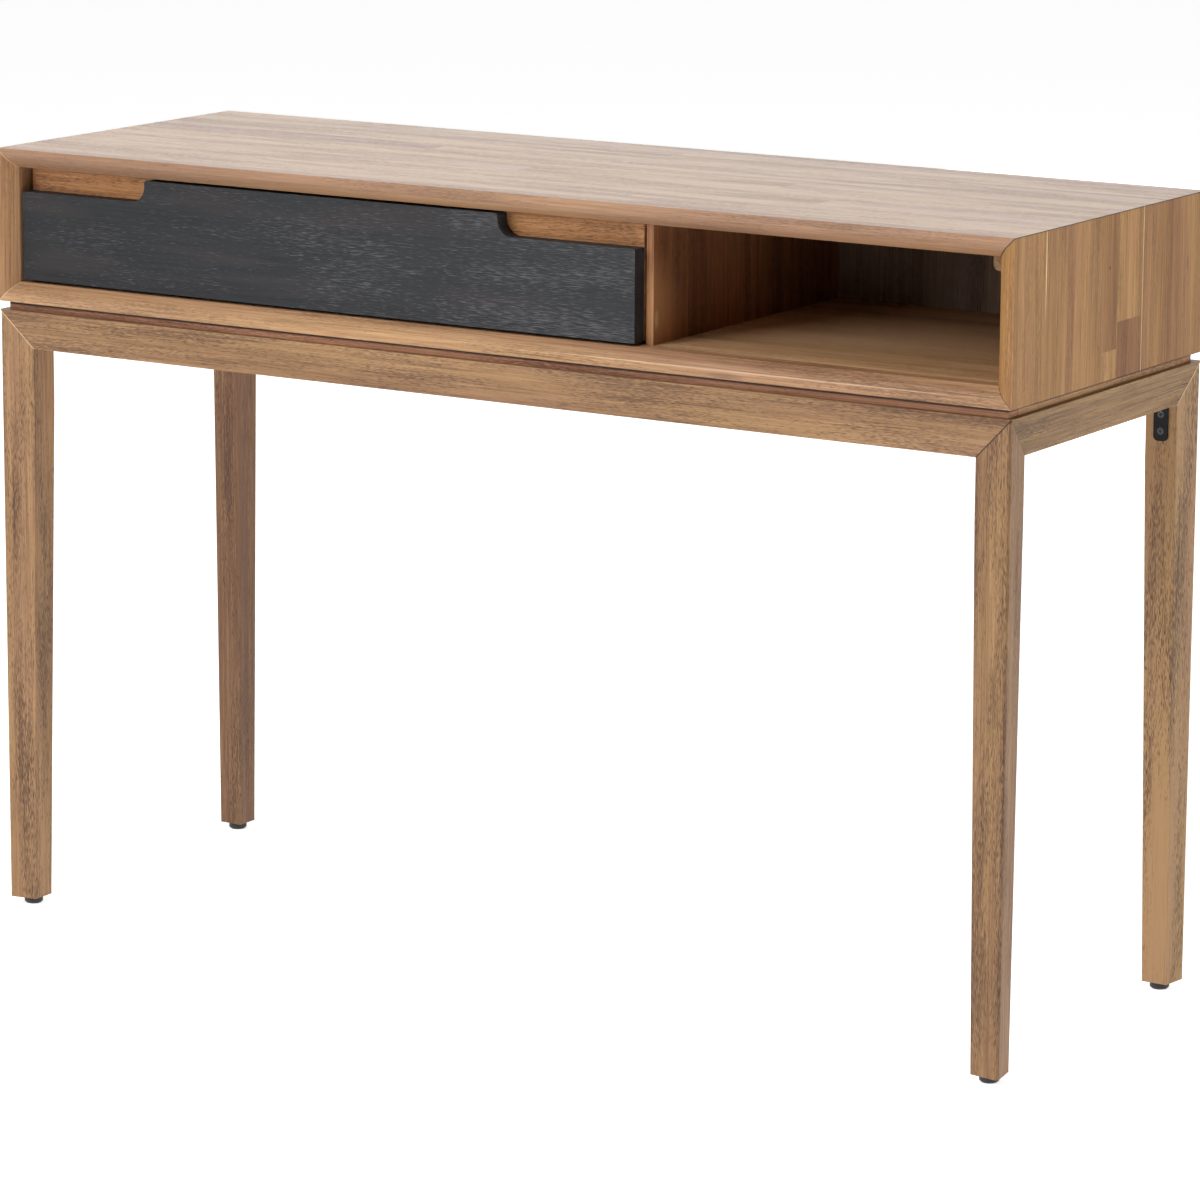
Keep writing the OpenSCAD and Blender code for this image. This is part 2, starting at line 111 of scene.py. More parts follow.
class Sheet:
    """One material's node sheet, with a short call for each kind of node."""

    def __init__(self, name: str) -> None:
        """Starts an empty material.

        Args:
            name: The material's name.
        """
        self.material = bpy.data.materials.new(name)
        self.material.use_nodes = True
        self.tree = self.material.node_tree
        self.tree.nodes.clear()
        self.shader = self.tree.nodes.new("ShaderNodeBsdfPrincipled")
        out = self.tree.nodes.new("ShaderNodeOutputMaterial")
        self.tree.links.new(self.shader.outputs["BSDF"], out.inputs["Surface"])
        self.place = self.tree.nodes.new("ShaderNodeTexCoord").outputs["Object"]

    def node(self, kind: str, inputs: Optional[dict] = None, **settings: object) -> bpy.types.Node:
        """Adds a node.

        Args:
            kind: The node's type, without the ShaderNode start.
            inputs: What goes into each of its sockets, a value or another socket.
            **settings: The node's own properties.

        Returns:
            The new node.
        """
        made = self.tree.nodes.new("ShaderNode" + kind)
        for key, value in settings.items():
            setattr(made, key, value)
        for key, value in (inputs or {}).items():
            if isinstance(value, bpy.types.NodeSocket):
                self.tree.links.new(value, made.inputs[key])
            else:
                made.inputs[key].default_value = value
        return made

    def sum(self, how: str, first: object, second: object = 0.0, third: object = 0.0,
            clamp: bool = False) -> bpy.types.NodeSocket:
        """Works out one number from others.

        Args:
            how: The operation, such as ADD.
            first: First value or socket.
            second: Second value or socket.
            third: Third value or socket.
            clamp: Whether to keep the result within 0 and 1.

        Returns:
            The result's socket.
        """
        made = self.node("Math", {0: first, 1: second, 2: third}, operation=how, use_clamp=clamp)
        return made.outputs[0]

    def vector(self, how: str, first: object, second: object = (0, 0, 0),
               third: object = (0, 0, 0)) -> bpy.types.NodeSocket:
        """Works out one vector from others, as sum does for numbers.

        Args:
            how: The operation, such as ADD.
            first: First vector or socket.
            second: Second vector or socket.
            third: Third vector or socket.

        Returns:
            The result's socket, which holds one number for a length or a dot product.
        """
        made = self.node("VectorMath", {0: first, 1: second, 2: third}, operation=how)
        single = how in ("LENGTH", "DISTANCE", "DOT_PRODUCT")
        return made.outputs["Value" if single else "Vector"]

    def noise(self, where: object, stretch: Triple, detail: float = 2.0, rough: float = 0.5,
              colour: bool = False) -> bpy.types.NodeSocket:
        """Smooth noise whose cells are 1 / stretch metres long each way.

        Args:
            where: The place to read it at.
            stretch: Cells per metre along each axis.
            detail: How many finer layers it has.
            rough: How strong each finer layer is.
            colour: Whether to return three numbers in place of one.

        Returns:
            The noise's socket.
        """
        scaled = self.vector("MULTIPLY", where, stretch)
        made = self.node("TexNoise", {"Vector": scaled, "Scale": 1.0, "Detail": detail,
                                      "Roughness": rough})
        return made.outputs["Color" if colour else 0]

    def ramp(self, value: object, stops: Iterable[tuple[float, Colour]],
             steps: bool = False) -> bpy.types.NodeSocket:
        """Colours a number.

        Args:
            value: The number.
            stops: Pairs of a place from 0 to 1 and the colour there.
            steps: Whether each colour holds until the next stop.

        Returns:
            The colour's socket.
        """
        made = self.node("ValToRGB", {"Fac": value})
        made.color_ramp.interpolation = "CONSTANT" if steps else "LINEAR"
        elements = made.color_ramp.elements
        for number, (spot, shade) in enumerate(stops):
            stop = elements[number] if number < 2 else elements.new(spot)
            stop.position = spot
            stop.color = (*shade, 1.0)
        return made.outputs["Color"]

    def mix(self, share: object, first: object, second: object,
            blend: str = "MIX") -> bpy.types.NodeSocket:
        """Blends two colours.

        Args:
            share: How much of the second, 0 to 1.
            first: First colour or socket.
            second: Second colour or socket.
            blend: The way of blending.

        Returns:
            The blend's socket.
        """
        made = self.node("Mix", data_type="RGBA", blend_type=blend)
        for key, value in (("Factor_Float", share), ("A_Color", first), ("B_Color", second)):
            socket = next(s for s in made.inputs if s.identifier == key)
            if isinstance(value, bpy.types.NodeSocket):
                self.tree.links.new(value, socket)
            else:
                socket.default_value = (*value, 1.0) if isinstance(value, tuple) else value
        return next(s for s in made.outputs if s.identifier == "Result_Color")

    def step(self, value: object, low: float, high: float) -> bpy.types.NodeSocket:
        """Rises smoothly from 0 at low to 1 at high, or falls when low is above high.

        Args:
            value: The number to read.
            low: Where the result is 0.
            high: Where the result is 1.

        Returns:
            The result's socket.
        """
        ends = (low, high, 0.0, 1.0) if low < high else (high, low, 1.0, 0.0)
        made = self.node("MapRange", {"Value": value, "From Min": ends[0], "From Max": ends[1],
                                      "To Min": ends[2], "To Max": ends[3]},
                         interpolation_type="SMOOTHSTEP")
        return made.outputs["Result"]

    def spread(self, value: object, low: float, high: float, start: float,
               end: float) -> bpy.types.NodeSocket:
        """Maps low to high onto start to end in a straight line, held at both ends.

        Args:
            value: The number to read.
            low: Where the result is start.
            high: Where the result is end.
            start: Result at low.
            end: Result at high.

        Returns:
            The result's socket.
        """
        made = self.node("MapRange", {"Value": value, "From Min": low, "From Max": high,
                                      "To Min": start, "To Max": end}, clamp=True)
        return made.outputs["Result"]

    def finish(self, colour: object, rough: object, height: Optional[object] = None,
               depth: float = RELIEF, metal: float = 0.0, gloss: float = 0.5) -> bpy.types.Material:
        """Joins the results to the shader.

        Args:
            colour: Base colour.
            rough: Roughness.
            height: Height of the relief, 0 to 1.
            depth: Depth in metres that a height of 1 stands for.
            metal: 1 for bare metal.
            gloss: Strength of the plain surface reflection.

        Returns:
            The finished material.
        """
        links = self.tree.links
        for key, value in (("Base Color", colour), ("Roughness", rough)):
            if isinstance(value, bpy.types.NodeSocket):
                links.new(value, self.shader.inputs[key])
            else:
                self.shader.inputs[key].default_value = value
        self.shader.inputs["Metallic"].default_value = metal
        self.shader.inputs["Specular IOR Level"].default_value = gloss
        if height is not None:
            bump = self.node("Bump", {"Height": height, "Strength": 1.0, "Distance": depth})
            links.new(bump.outputs["Normal"], self.shader.inputs["Normal"])
        return self.material


@dataclass(frozen=True)
class Mark:
    """A knot, a patch of figure, a wear mark, or a patch of painted light or shade on a board.

    Its centre and half sizes are in metres.
    """

    centre: Triple
    reach: Triple
    colour: Colour
    strength: float = 0.8


@dataclass(frozen=True)
class Seam:
    """A glue line or gap along a mitre, or a painted shadow line, lying in a plane across the board.
    """

    normal: Triple
    offset: float
    colour: Colour
    width: float = 0.0006
    strength: float = 0.85


@dataclass(frozen=True)
class Stave:
    """One glued strip of a board, with at most one butt joint in it.

    The joint is a place along the grain, and beyond is the shade past it.
    """

    width: float
    shade: float
    joint: float = NO_JOINT
    beyond: float = 0.5
    glue: float = 0.0


@dataclass(frozen=True)
class OiledWood:
    """Solid oiled wood with streaks, long fibres and small dark pores.

    A positive lift makes the wood paler, and broad scales its wide bands of tone.
    """

    name: str
    grain: Grain
    pale: Colour = tint(162, 127, 88)
    middle: Colour = tint(142, 108, 75)
    deep: Colour = tint(106, 74, 51)
    pore: Colour = tint(70, 46, 34)
    shift: Triple = (0.0, 0.0, 0.0)
    pores: float = 0.5
    hairs: float = 0.75
    contrast: float = 1.0
    roughness: float = 0.5
    marks: tuple[Mark, ...] = ()
    seams: tuple[Seam, ...] = ()
    gloss: float = 0.3
    broad: float = 1.0
    staves: tuple[Stave, ...] = ()
    stave_axis: int = 1
    stave_start: float = 0.0
    lift: float = 0.0

    def build(self) -> bpy.types.Material:
        """Makes the material.

        Returns:
            The material.
        """
        s = Sheet(self.name)
        split = s.node("SeparateXYZ", {0: s.place})
        axes = [split.outputs[axis] for axis in self.grain.value]
        joined = s.node("CombineXYZ", dict(enumerate(axes))).outputs[0]
        where = s.vector("ADD", joined, self.shift)
        shade, glue = None, None
        if self.staves:
            shade, where, glue = self.lay_staves(s, split.outputs[self.stave_axis], axes[0], where)
        sway = s.noise(where, Cells.SWAY, 1.0, 0.5, colour=True)
        sway = s.vector("SUBTRACT", sway, (0.5, 0.5, 0.5))
        bent = s.vector("MULTIPLY_ADD", sway, (0.0, 0.022, 0.022), where)
        fibre = s.noise(bent, Cells.FIBRE, 1.0, 0.5)
        pore, hair = self.pierce(s, where, bent)
        colour = self.tone(s, where, bent, fibre, shade)
        colour = s.mix(s.sum("MULTIPLY", pore, self.pores), colour, self.pore)
        colour = s.mix(s.sum("MULTIPLY", hair, self.hairs), colour, self.pore)
        colour = self.draw_lines(s, colour)
        if glue is not None:
            colour = s.mix(glue, colour, tint(*GLUE_TINT))
        rough = s.spread(fibre, 0.25, 0.75, self.roughness - 0.05, self.roughness + 0.07)
        height = s.sum("MULTIPLY_ADD", pore, -0.8, s.sum("MULTIPLY", fibre, 0.45))
        height = s.sum("MULTIPLY_ADD", hair, -0.5, height)
        return s.finish(colour, rough, height, RELIEF, gloss=self.gloss)

    def tone(self, s: Sheet, where: bpy.types.NodeSocket, bent: bpy.types.NodeSocket,
             fibre: bpy.types.NodeSocket,
             shade: Optional[bpy.types.NodeSocket]) -> bpy.types.NodeSocket:
        """Colours the wood between its pores.

        Args:
            s: The sheet.
            where: The grain's place.
            bent: The grain's place, with the fibres swaying.
            fibre: The finest fibres.
            shade: The stave's shade, or None for a board without staves.

        Returns:
            The colour's socket.
        """
        layers = ((s.noise(where, Cells.TONE, 1.0), 1.2 * self.broad),
                  (s.noise(bent, Cells.FIGURE, 2.0, 0.55), 0.9 * self.broad),
                  (s.noise(bent, Cells.STREAK, 3.0, 0.68), 1.25),
                  (fibre, 0.8))
        depth: object = 0.0
        for layer, weight in layers:
            depth = s.sum("MULTIPLY_ADD", s.sum("SUBTRACT", layer, 0.5), weight, depth)
        depth = s.sum("MULTIPLY_ADD", depth, self.contrast, 0.5 - self.lift)
        if shade is not None:
            depth = s.sum("MULTIPLY_ADD", s.sum("SUBTRACT", shade, 0.5), 0.46, depth)
        colour = s.ramp(depth, ((0.08, self.pale), (0.45, self.middle), (0.95, self.deep)))
        if shade is not None:
            warm = s.ramp(shade, ((0.0, (1.04, 1.02, 0.90)), (0.5, (1.0, 1.0, 1.0)),
                                  (1.0, (1.015, 0.965, 0.945))))
            colour = s.mix(1.0, colour, warm, "MULTIPLY")
        drift = s.noise(s.vector("ADD", where, (5.5, 2.5, 1.5)), Cells.DRIFT, 1.0)
        drift = s.ramp(drift, ((0.3, (0.99, 0.965, 1.03)), (0.7, (1.02, 1.03, 0.93))))
        return s.mix(1.0, colour, drift, "MULTIPLY")

    @staticmethod
    def pierce(s: Sheet, where: bpy.types.NodeSocket,
               bent: bpy.types.NodeSocket) -> tuple[bpy.types.NodeSocket, bpy.types.NodeSocket]:
        """Finds the open pores and the dark hairlines, which crowd together in patches.

        Args:
            s: The sheet.
            where: The grain's place.
            bent: The grain's place, with the fibres swaying.

        Returns:
            How much of a pore and how much of a hairline shows.
        """
        crowd = s.noise(where, Cells.CROWD, 2.0)
        tick = s.noise(bent, Cells.TICK, 0.0)
        pore = s.step(s.sum("MULTIPLY_ADD", crowd, 1.1, tick), 1.10, 1.34)
        hair = s.step(s.noise(bent, Cells.HAIR, 1.0, 0.5), 0.60, 0.70)
        hair = s.sum("MULTIPLY", hair, s.spread(crowd, 0.35, 0.65, 0.12, 0.62))
        return pore, hair

    def draw_lines(self, s: Sheet, colour: bpy.types.NodeSocket) -> bpy.types.NodeSocket:
        """Draws the board's marks and seams over its colour.

        Args:
            s: The sheet.
            colour: The colour so far.

        Returns:
            The colour's socket.
        """
        for mark in self.marks:
            colour = s.mix(self.near(s, mark), colour, mark.colour)
        for seam in self.seams:
            length = math.sqrt(sum(part * part for part in seam.normal))
            unit = tuple(part / length for part in seam.normal)
            off = s.sum("SUBTRACT", s.vector("DOT_PRODUCT", s.place, unit), seam.offset / length)
            line = s.step(s.sum("ABSOLUTE", off), seam.width, seam.width * 0.55)
            colour = s.mix(s.sum("MULTIPLY", line, seam.strength), colour, seam.colour)
        return colour

    def lay_staves(
            self, s: Sheet, across: bpy.types.NodeSocket, along: bpy.types.NodeSocket,
            where: bpy.types.NodeSocket
            ) -> tuple[bpy.types.NodeSocket, bpy.types.NodeSocket, bpy.types.NodeSocket]:
        """Cuts the board into glued staves, each with its own grain and shade.

        Args:
            s: The sheet.
            across: Place across the staves.
            along: Place along the staves.
            where: The grain's place.

        Returns:
            The shade, the grain's place within its stave, and how much glue line shows.
        """
        total = sum(stave.width for stave in self.staves)
        ratio = s.sum("DIVIDE", s.sum("SUBTRACT", across, self.stave_start), total)
        edges, reached = [], 0.0
        for stave in self.staves:
            edges.append(reached / total)
            reached += stave.width

        def table(values: Iterable[float]) -> bpy.types.NodeSocket:
            """Looks up one number for each stave.

            Args:
                values: The staves' numbers.

            Returns:
                The socket with the number of the stave at each place.
            """
            stops = [(edge, (v, v, v)) for edge, v in zip(edges, values)]
            colour = s.ramp(ratio, stops, steps=True)
            return s.node("SeparateColor", {0: colour}).outputs[0]

        first = table(stave.shade for stave in self.staves)
        second = table(stave.beyond for stave in self.staves)
        joint = table((stave.joint - JOINT_LOW) / JOINT_SPAN for stave in self.staves)
        joint = s.sum("MULTIPLY_ADD", joint, JOINT_SPAN, JOINT_LOW)
        passed = s.sum("GREATER_THAN", along, joint)
        number = table((i + 0.5) / len(self.staves) for i in range(len(self.staves)))
        mixed = s.node("Mix", {0: passed, 2: first, 3: second}, data_type="FLOAT").outputs[0]
        key = s.sum("MULTIPLY_ADD", passed, JOINT_KEY, s.sum("MULTIPLY", number, STAVE_KEY))
        jump = s.node("TexWhiteNoise", {"W": key}, noise_dimensions="1D").outputs["Color"]
        place = s.vector("MULTIPLY_ADD", jump, GRAIN_JUMP, where)
        lines = [(0.0, (0.0, 0.0, 0.0))]
        for edge, stave in zip(edges[1:], self.staves[:-1]):
            lines.append((edge - GLUE_HALF / total, (stave.glue,) * 3))
            lines.append((edge + GLUE_HALF / total, (0.0, 0.0, 0.0)))
        glue = s.node("SeparateColor", {0: s.ramp(ratio, lines, steps=True)}).outputs[0]
        return mixed, place, glue

    @staticmethod
    def near(s: Sheet, mark: Mark) -> bpy.types.NodeSocket:
        """Tells how strongly a mark shows at each place.

        Args:
            s: The sheet.
            mark: The mark.

        Returns:
            The strength's socket.
        """
        gap = s.vector("DIVIDE", s.vector("SUBTRACT", s.place, mark.centre), mark.reach)
        far = s.vector("LENGTH", gap)
        return s.sum("MULTIPLY", s.step(far, 1.0, 0.35), mark.strength)


@dataclass(frozen=True)
class CharcoalStain:
    """Wood stained charcoal, brushed so that pale flecks of grain show through."""

    name: str
    deep: Colour = tint(24, 25, 27)
    soft: Colour = tint(39, 40, 43)
    fleck: Colour = tint(112, 112, 115)
    roughness: float = 0.6
    lift: float = 0.0

    def build(self) -> bpy.types.Material:
        """Makes the material.

        Returns:
            The material.
        """
        s = Sheet(self.name)
        sway = s.noise(s.place, (4.0, 16.0, 16.0), 1.0, 0.5, colour=True)
        bent = s.vector("MULTIPLY_ADD", s.vector("SUBTRACT", sway, (0.5, 0.5, 0.5)),
                        (0.0, 0.006, 0.006), s.place)
        fibre = s.noise(bent, (36.0, 1100.0, 1100.0), 2.0, 0.6)
        streak = s.noise(bent, (9.0, 330.0, 330.0), 2.0, 0.55)
        depth = s.sum("MULTIPLY_ADD", fibre, 0.6, s.sum("MULTIPLY", streak, 0.4))
        crowd = s.noise(s.place, (7.0, 30.0, 30.0), 2.0)
        split = s.node("SeparateXYZ", {0: s.place})
        worn = s.spread(split.outputs[0], -0.5, 0.1, -0.08, 0.3)
        crowd = s.sum("ADD", crowd, worn)
        depth = s.sum("ADD", depth, s.sum("MULTIPLY", worn, 0.5))
        colour = s.ramp(depth, ((0.36, self.deep), (0.66, self.soft)))
        brown = s.step(s.noise(s.place, (5.0, 40.0, 40.0), 1.0), 0.55, 0.75)
        colour = s.mix(s.sum("MULTIPLY", brown, 0.25), colour, tint(60, 50, 49))
        tick = s.noise(bent, (75.0, 2000.0, 2000.0), 1.0, 0.6)
        fleck = s.step(s.sum("MULTIPLY_ADD", crowd, 0.36, tick), 0.79 - self.lift, 0.97 - self.lift)
        colour = s.mix(s.sum("MULTIPLY", fleck, 0.42), colour, self.fleck)
        rough = s.spread(fibre, 0.3, 0.7, self.roughness - 0.06, self.roughness + 0.1)
        height = s.sum("MULTIPLY_ADD", fleck, 0.4, fibre)
        return s.finish(colour, rough, height, RELIEF, gloss=0.25)


@dataclass(frozen=True)
class CoatedSteel:
    """Steel under a black powder coat with a slight orange peel and rubbed spots."""

    name: str
    colour: Colour = tint(12, 13, 15)
    rubbed: Colour = tint(36, 38, 41)
    roughness: float = 0.55

    def build(self) -> bpy.types.Material:
        """Makes the material.

        Returns:
            The material.
        """
        s = Sheet(self.name)
        peel = s.noise(s.place, (900.0, 900.0, 900.0), 1.0)
        patch = s.noise(s.place, (140.0, 140.0, 140.0), 3.0, 0.6)
        colour = s.mix(s.step(patch, 0.58, 0.8), self.colour, self.rubbed)
        rough = s.spread(patch, 0.3, 0.7, self.roughness - 0.08, self.roughness + 0.1)
        return s.finish(colour, rough, peel, 0.00008, gloss=0.25)


@dataclass(frozen=True)
class ZincSteel:
    """Zinc-plated steel with faint rolling lines and cloudy patches."""

    name: str
    grain: Grain = Grain.ALONG_Y
    colour: Colour = tint(176, 178, 182)
    cloud: Colour = tint(142, 146, 152)
    roughness: float = 0.36

    def build(self) -> bpy.types.Material:
        """Makes the material.

        Returns:
            The material.
        """
        s = Sheet(self.name)
        stretch = [1800.0, 1800.0, 1800.0]
        stretch[self.grain.value[0]] = 30.0
        lines = s.noise(s.place, tuple(stretch), 1.0)
        cloud = s.noise(s.place, (45.0, 45.0, 45.0), 3.0, 0.6)
        colour = s.mix(s.step(cloud, 0.35, 0.68), self.colour, self.cloud)
        rough = s.spread(lines, 0.25, 0.75, self.roughness - 0.08, self.roughness + 0.12)
        return s.finish(colour, rough, lines, 0.00003, metal=1.0)


@dataclass(frozen=True)
class MouldedPlastic:
    """Black moulded plastic with a fine spark texture and pale scuffs low down."""

    name: str
    colour: Colour = tint(27, 27, 29)
    scuff: Colour = tint(70, 70, 72)

    def build(self) -> bpy.types.Material:
        """Makes the material.

        Returns:
            The material.
        """
        s = Sheet(self.name)
        spark = s.noise(s.place, (1500.0, 1500.0, 1500.0), 2.0)
        scuff = s.step(s.noise(s.place, (260.0, 260.0, 900.0), 2.0, 0.6), 0.6, 0.8)
        colour = s.mix(s.sum("MULTIPLY", scuff, 0.5), self.colour, self.scuff)
        rough = s.spread(spark, 0.3, 0.7, 0.42, 0.58)
        return s.finish(colour, rough, spark, 0.00006)


@dataclass(frozen=True)
class StudioPaper:
    """Plain pale paper of the studio floor, lit from below like a light table."""

    name: str
    colour: Colour = (0.93, 0.93, 0.93)
    glow: float = 0.7

    def build(self) -> bpy.types.Material:
        """Makes the material.

        Returns:
            The material.
        """
        s = Sheet(self.name)
        cloud = s.noise(s.place, (0.8, 0.8, 0.8), 2.0)
        shade = tuple(part * 0.985 for part in self.colour)
        s.shader.inputs["Emission Color"].default_value = (*self.colour, 1.0)
        s.shader.inputs["Emission Strength"].default_value = self.glow
        return s.finish(s.mix(cloud, self.colour, shade), 0.85, gloss=0.2)


def dress(node: str, finish: bpy.types.Material, edge: Optional[bpy.types.Material] = None,
          ease: float = 0.0, segments: int = 2) -> None:
    """Gives a node its finish, and breaks its sharp edges.

    Args:
        node: The node's name.
        finish: Material of its faces.
        edge: Material of the broken edges, when they differ.
        ease: Width of the broken edges in metres, 0 for none.
        segments: Facets across one broken edge.
    """
    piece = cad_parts[node]
    piece.data.materials.clear()
    piece.data.materials.append(finish)
    if edge is not None:
        piece.data.materials.append(edge)
    if ease:
        weld = piece.modifiers.new("weld", "WELD")
        weld.merge_threshold = WELD_GAP
        bevel = piece.modifiers.new("eased", "BEVEL")
        bevel.width = ease
        bevel.segments = segments
        bevel.limit_method = "ANGLE"
        bevel.angle_limit = math.radians(SHARP_ANGLE)
        bevel.material = 1 if edge is not None else -1
        bevel.use_clamp_overlap = True
    LOG.info("%s: %s", node, finish.name)


@dataclass
class Case:
    """The mitred case: four boards, divider, back panel and cleat."""

    ease: float = 0.0007
    divider_ease: float = 0.002
    cleat_ease: float = 0.0008
    right_staves: tuple[Stave, ...] = (
        Stave(0.065, 0.35), Stave(0.043, 0.50), Stave(0.041, 0.72), Stave(0.035, 0.45),
        Stave(0.033, 0.12, joint=0.687, beyond=0.74),
        Stave(0.054, 0.88, joint=0.713, beyond=0.2, glue=0.5),
        Stave(0.035, 0.30), Stave(0.039, 0.80), Stave(0.065, 0.55))
    # The first, dark stave of the left board is painted shade on its front edge.
    left_staves: tuple[Stave, ...] = (
        Stave(0.020, 0.80), Stave(0.070, 0.35, glue=0.5), Stave(0.047, 0.66), Stave(0.061, 0.42),
        Stave(0.036, 0.75, joint=0.76, beyond=0.3), Stave(0.058, 0.38),
        Stave(0.044, 0.60, glue=0.4), Stave(0.074, 0.45))
    # The dark first stave is painted shade on the bottom's front edge; the paler staves behind it
    # are painted light on the bay floor.
    bottom_staves: tuple[Stave, ...] = (
        Stave(0.028, 0.86), Stave(0.054, 0.30), Stave(0.055, 0.32), Stave(0.045, 0.15),
        Stave(0.050, 0.20), Stave(0.060, 0.10), Stave(0.048, 0.15), Stave(0.070, 0.10))
    # The first, darkest stave is painted shade on the top's front edge.
    top_staves: tuple[Stave, ...] = (
        Stave(0.018, 1.0), Stave(0.040, 0.45, joint=0.15, beyond=0.30),
        Stave(0.042, 0.62, joint=-0.31, beyond=0.40), Stave(0.050, 0.38, joint=0.33, beyond=0.62),
        Stave(0.036, 0.55, joint=-0.05, beyond=0.35), Stave(0.047, 0.30, joint=0.24, beyond=0.58),
        Stave(0.055, 0.66, joint=-0.22, beyond=0.45), Stave(0.040, 0.42, joint=0.41, beyond=0.70),
        Stave(0.045, 0.58, joint=0.02, beyond=0.36), Stave(0.037, 0.35, joint=-0.38, beyond=0.60))

    def __post_init__(self) -> None:
        """Reads the case's planes, the lines along its mitres and its broken edges' wood."""
        self.half_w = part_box("side_right")[1].x
        self.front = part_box("side_right")[0].y
        self.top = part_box("top_panel")[1].z
        self.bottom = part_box("bottom_panel")[0].z
        dark, light = tint(52, 34, 24), tint(214, 182, 142)
        self.top_right = Seam((1, 0, -1), self.half_w - self.top, dark, 0.0008)
        self.top_left = Seam((1, 0, 1), self.top - self.half_w, light, 0.0005, 0.5)
        self.low_right = Seam((1, 0, 1), self.half_w + self.bottom, dark, 0.0005, 0.6)
        self.low_left = Seam((1, 0, -1), -self.half_w - self.bottom, light, 0.0005, 0.7)
        shades = tint(186, 150, 112), tint(164, 128, 94), tint(130, 94, 66)
        self.arris = OiledWood("arris_wood", Grain.ALONG_X, *shades).build()
        self.upright_arris = OiledWood("upright_arris_wood", Grain.ALONG_Z, *shades).build()

    def dress(self) -> None:
        """Gives every piece of the case its finish."""
        self.dress_top()
        self.dress_bottom()
        self.dress_sides()
        self.dress_inside()

    def dress_top(self) -> None:
        """Finishes the top board, with the figure on its upper face and painted shade at its front.
        """
        knot, vein = tint(118, 86, 66), tint(134, 102, 78)
        marks = (Mark((0.176, 0.005, self.top), (0.020, 0.004, 0.01), knot, 0.5),
                 Mark((0.150, 0.012, self.top), (0.012, 0.0025, 0.01), knot, 0.3),
                 Mark((0.345, 0.062, self.top), (0.055, 0.0022, 0.01), vein, 0.25),
                 Mark((0.30, 0.085, self.top), (0.040, 0.0016, 0.01), vein, 0.2),
                 # Painted shade: a darker band at the front left of the top's front edge.
                 Mark((-0.44, self.front, self.top - 0.01), (0.34, 0.02, 0.016),
                      tint(112, 80, 54), 0.4))
        # The top's pale, greyish colours are partly its own wood and partly a painted sheen.
        top = OiledWood("top_wood", Grain.ALONG_X, tint(178, 144, 110), tint(162, 128, 96),
                        tint(134, 100, 72), tint(104, 74, 54), staves=self.top_staves,
                        stave_start=self.front, contrast=0.8, broad=0.4, pores=0.6,
                        shift=(3.1, 0.4, 0.2), gloss=0.5, roughness=0.4,
                        seams=(self.top_right, self.top_left), marks=marks)
        dress("top_panel", top.build(), self.arris, self.ease)

    def dress_bottom(self) -> None:
        """Finishes the bottom board, with the figure on its front edge and painted highlight, shade
        and light.
        """
        # Painted highlight: a pale line along the arris of the front edge.
        marks = (Mark((0.32, self.front, self.bottom + 0.0085), (0.34, 0.004, 0.0011),
                      tint(232, 204, 170), 0.35),
                 Mark((0.29, self.front, self.bottom + 0.0035), (0.03, 0.004, 0.003),
                      tint(92, 62, 56), 0.5),
                 # Painted shade: a darker band at the front left of the front edge.
                 Mark((-0.44, self.front, self.bottom + 0.01), (0.34, 0.02, 0.016),
                      tint(128, 94, 66), 0.3),
                 # Painted light: a pale pool in the middle of the bay floor.
                 Mark((0.30, 0.02, self.bottom + 0.02), (0.34, 0.13, 0.01),
                      tint(240, 204, 166), 0.6))
        # The bottom's paler colours are partly its own wood and partly painted light on the bay
        # floor.
        bottom = OiledWood("bottom_wood", Grain.ALONG_X, tint(204, 168, 130),
                           tint(178, 142, 106), tint(136, 101, 71), staves=self.bottom_staves,
                           stave_start=self.front, shift=(8.3, 1.4, 0.9), contrast=0.85,
                           broad=0.6, pores=0.45, seams=(self.low_right, self.low_left),
                           marks=marks)
        dress("bottom_panel", bottom.build(), self.arris, self.ease)

    def dress_sides(self) -> None:
        """Finishes the side boards, with glue lines, a knot and a dark patch on the right."""
        plain = {"stave_start": self.front, "contrast": 0.8, "pores": 0.3, "gloss": 0.22,
                 "roughness": 0.55}
        marks = (Mark((self.half_w, -0.140, 0.785), (0.02, 0.0011, 0.060), tint(234, 206, 162), 0.9),
                 Mark((self.half_w, 0.012, 0.715), (0.02, 0.0006, 0.030), tint(214, 178, 128), 0.5),
                 Mark((self.half_w, -0.006, 0.768), (0.02, 0.0022, 0.0026), tint(62, 36, 28)),
                 Mark((self.half_w, 0.167, 0.752), (0.02, 0.003, 0.011), tint(98, 74, 66), 0.6))
        right = OiledWood("right_side_wood", Grain.ALONG_Z, tint(174, 134, 86),
                          tint(154, 114, 71), tint(120, 82, 50), staves=self.right_staves,
                          shift=(1.7, 2.2, 0.5), seams=(self.top_right, self.low_right),
                          marks=marks, **plain)
        left = OiledWood("left_side_wood", Grain.ALONG_Z, tint(176, 140, 104),
                         tint(156, 120, 87), tint(122, 88, 62), staves=self.left_staves,
                         shift=(5.1, 3.2, 1.5), seams=(self.top_left, self.low_left), **plain)
        dress("side_right", right.build(), self.upright_arris, self.ease)
        dress("side_left", left.build(), self.upright_arris, self.ease)

    def dress_inside(self) -> None:
        """Finishes the divider, the back panel and the cleat."""
        near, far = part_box("divider")
